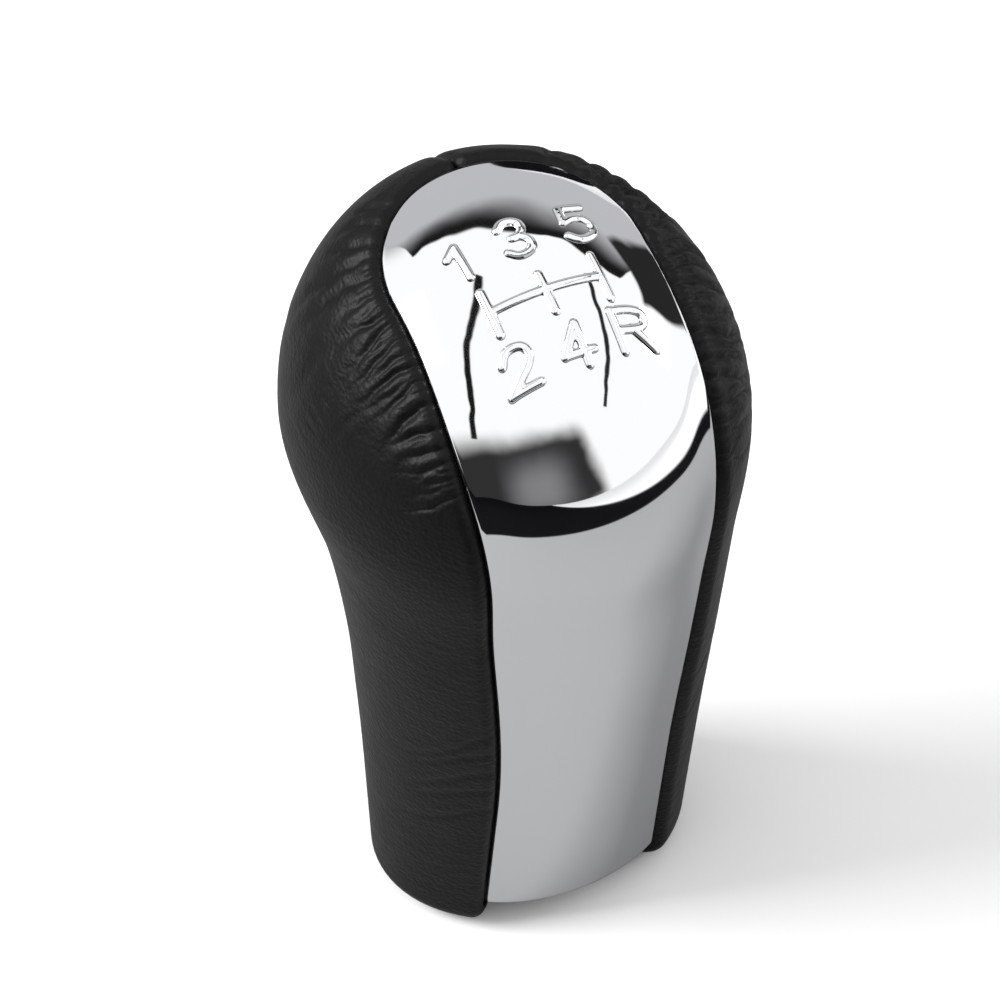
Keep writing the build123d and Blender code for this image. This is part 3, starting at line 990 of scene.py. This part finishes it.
# Facing, upward, half width and height at unit distance, softness and tone of each card in the sky
CARDS = (
    ((0.35, 0.86, 0.36), (0, 0, 1), 0.9, 0.52, 0.03, 0.01),
    ((0.32, 0.9, 0.2), (0, 0, 1), 0.8, 0.3, 0.4, 0.5),
    ((0.9, 0.3, 0.25), (0, 0, 1), 0.2, 0.2, 0.05, 0.02),
    ((-0.42, -0.9, 0.12), (-0.3, 0, 1), 0.72, 0.3, 0.28, 0.03),
    ((-0.24, -0.95, 0.12), (-0.2, 0, 1), 0.04, 0.02, 0.4, 0.22),
    ((-0.5, -0.15, 0.85), (-0.52, -0.76, -0.44), 0.022, 0.75, 0.02, 0.01),
    ((0.6, -0.25, 0.76), (-0.14, -0.97, -0.2), 0.012, 0.55, 0.015, 0.02),
)


class KNOB_OT_stage(bpy.types.Operator):
    """Sets the floor, the light and the camera"""

    bl_idname = "knob.stage"
    bl_label = "Stage"

    def execute(self, context):
        scene = context.scene
        stage = scene.knob_stage
        scene.view_settings.view_transform = "Standard"
        bpy.ops.object.select_all(action="DESELECT")
        bpy.ops.mesh.primitive_plane_add(size=6.0)
        floor = context.object
        floor.name = "floor"
        floor.data.materials.append(self.floor_material(stage))
        self.sky(scene)
        for lamp in LAMPS:
            self.lamp(*lamp)
        data = bpy.data.cameras.new("camera")
        data.lens = stage.lens
        data.sensor_width = 36.0
        data.clip_start = 0.01
        scene.camera = add_object("camera", data)
        aim(scene.camera, stage.camera_place, stage.camera_target)
        return {"FINISHED"}

    def lamp(self, name, place, size, power):
        """A square soft box that looks at the knob."""
        data = bpy.data.lights.new(name, "AREA")
        data.size = size
        data.energy = power
        aim(add_object(name, data), place, LAMP_TARGET)

    def floor_material(self, stage):
        """Pale floor; to all but the camera it carries painted reflections: greyer, dark beyond the table's
        edge and bright at the window.
        """
        material, tree, place = new_material("pale_floor")
        edge = stage.table_radius
        away = add_node(tree, "VectorMath", {0: place}, operation="LENGTH")["Value"]
        aside = add_node(tree, "VectorMath", {0: place, 1: PAINTED_WINDOW_SIDE}, operation="DOT_PRODUCT")["Value"]
        # Painted reflections: a grey table, a dark room beyond its edge and a bright window, for all but
        # camera rays.
        painted_room_mask = mapped(tree, away, (edge * 0.98, edge * 1.02))
        painted_window_mask = mapped(tree, aside, (edge * 1.35, edge * 1.5))
        painted_reflection = blended(tree, painted_room_mask, PAINTED_TABLE_REFLECTION, PAINTED_ROOM_REFLECTION)
        painted_reflection = blended(tree, painted_window_mask, painted_reflection, PAINTED_WINDOW_REFLECTION)
        return finished(material, {
            "Base Color": blended(tree, camera_ray(tree), painted_reflection, stage.floor_colour),
            "Roughness": 0.9,
            "Specular IOR Level": 0.0,
        })

    def card_group(self):
        """Node group: a mask for a soft-edged card seen in one direction."""
        tree = bpy.data.node_groups.new("studio_card", "ShaderNodeTree")
        for kind, names in (("NodeSocketVector", ("Direction", "Facing", "Across", "Upward")),
                            ("NodeSocketFloat", ("Half Width", "Half Height", "Softness"))):
            for name in names:
                tree.interface.new_socket(name, in_out="INPUT", socket_type=kind)
        tree.interface.new_socket("Mask", in_out="OUTPUT", socket_type="NodeSocketFloat")
        given = tree.nodes.new("NodeGroupInput").outputs
        result = tree.nodes.new("NodeGroupOutput").inputs

        def maths(operation, *values):
            """Result of a sum."""
            return add_node(tree, "Math", enumerate(values), operation=operation)["Value"]

        def along(axis):
            """How far the direction goes along an axis."""
            directions = {0: given["Direction"], 1: given[axis]}
            return add_node(tree, "VectorMath", directions, operation="DOT_PRODUCT")["Value"]

        ahead = maths("MAXIMUM", along("Facing"), 0.001)
        mask = maths("GREATER_THAN", along("Facing"), 0.01)
        for axis, half in (("Across", "Half Width"), ("Upward", "Half Height")):
            place = maths("DIVIDE", maths("ABSOLUTE", along(axis)), ahead)
            edge = given[half], maths("ADD", given[half], given["Softness"])
            inside = mapped(tree, place, edge, (1.0, 0.0), interpolation_type="SMOOTHSTEP")
            mask = maths("MULTIPLY", mask, inside)
        fill(tree, result["Mask"], mask)
        return tree

    def sky(self, scene):
        """Bright soft sky with dark cards and gaps for the chrome to mirror, pale for the camera."""
        world = bpy.data.worlds.new("studio")
        scene.world = world
        world.use_nodes = True
        tree = world.node_tree
        place = add_node(tree, "TexCoord")["Generated"]
        turned = add_node(tree, "VectorRotate", {"Vector": place, "Angle": SKY_TURN},
                          rotation_type="Z_AXIS")["Vector"]
        wave = add_node(tree, "TexNoise", {"Vector": turned, "Scale": 3.2, "Detail": 2.0})["Color"]
        shifted = add_node(tree, "VectorMath", {0: wave, 1: (WAVER,) * 3, 2: turned},
                           operation="MULTIPLY_ADD")["Vector"]
        direction = add_node(tree, "VectorMath", {0: shifted, 1: (WAVER / 2,) * 3},
                             operation="SUBTRACT")["Vector"]
        group = self.card_group()
        colour = MIRRORED_SKY
        for facing, upward, half_width, half_height, softness, tone in CARDS:
            facing = Vector(facing).normalized()
            across = facing.cross(Vector(upward)).normalized()
            mask = add_node(tree, "Group", {
                "Direction": direction, "Facing": facing, "Across": across, "Upward": across.cross(facing),
                "Half Width": half_width, "Half Height": half_height, "Softness": softness,
            }, node_tree=group)["Mask"]
            colour = blended(tree, mask, colour, (tone, tone, tone * 1.03, 1.0))
        background = tree.nodes["Background"].inputs
        fill(tree, background["Color"], blended(tree, camera_ray(tree), colour, SEEN_SKY))
        fill(tree, background["Strength"], SKY_STRENGTH)


class KNOB_PT_panel(bpy.types.Panel):
    """Lists the knob's pieces in the order they are built"""

    bl_idname = "KNOB_PT_panel"
    bl_label = "Gear Knob"
    bl_space_type = "VIEW_3D"
    bl_region_type = "UI"
    bl_category = "Gear Knob"

    def draw(self, context):
        for operator in OPERATORS:
            self.layout.operator(operator.bl_idname)


OPERATORS = (KNOB_OT_trim, KNOB_OT_leather, KNOB_OT_shift_pattern, KNOB_OT_inner_parts, KNOB_OT_stage)
SETTINGS = {
    "knob_form": KnobFormSettings,
    "knob_trim": TrimSettings,
    "knob_leather": LeatherSettings,
    "knob_stage": StageSettings,
}


def register():
    """Adds the classes, and the settings to the scene."""
    for cls in (*SETTINGS.values(), *OPERATORS, KNOB_PT_panel):
        bpy.utils.register_class(cls)
    for name, cls in SETTINGS.items():
        setattr(bpy.types.Scene, name, PointerProperty(type=cls))


def unregister():
    """Takes the settings and the classes away again."""
    for name in SETTINGS:
        delattr(bpy.types.Scene, name)
    for cls in reversed((*SETTINGS.values(), *OPERATORS, KNOB_PT_panel)):
        bpy.utils.unregister_class(cls)


def main():
    """Builds the knob and its stage."""
    register()
    bpy.ops.knob.trim()
    bpy.ops.knob.leather()
    bpy.ops.knob.shift_pattern()
    bpy.ops.knob.inner_parts()
    bpy.ops.knob.stage()


if __name__ == "__main__":
    main()
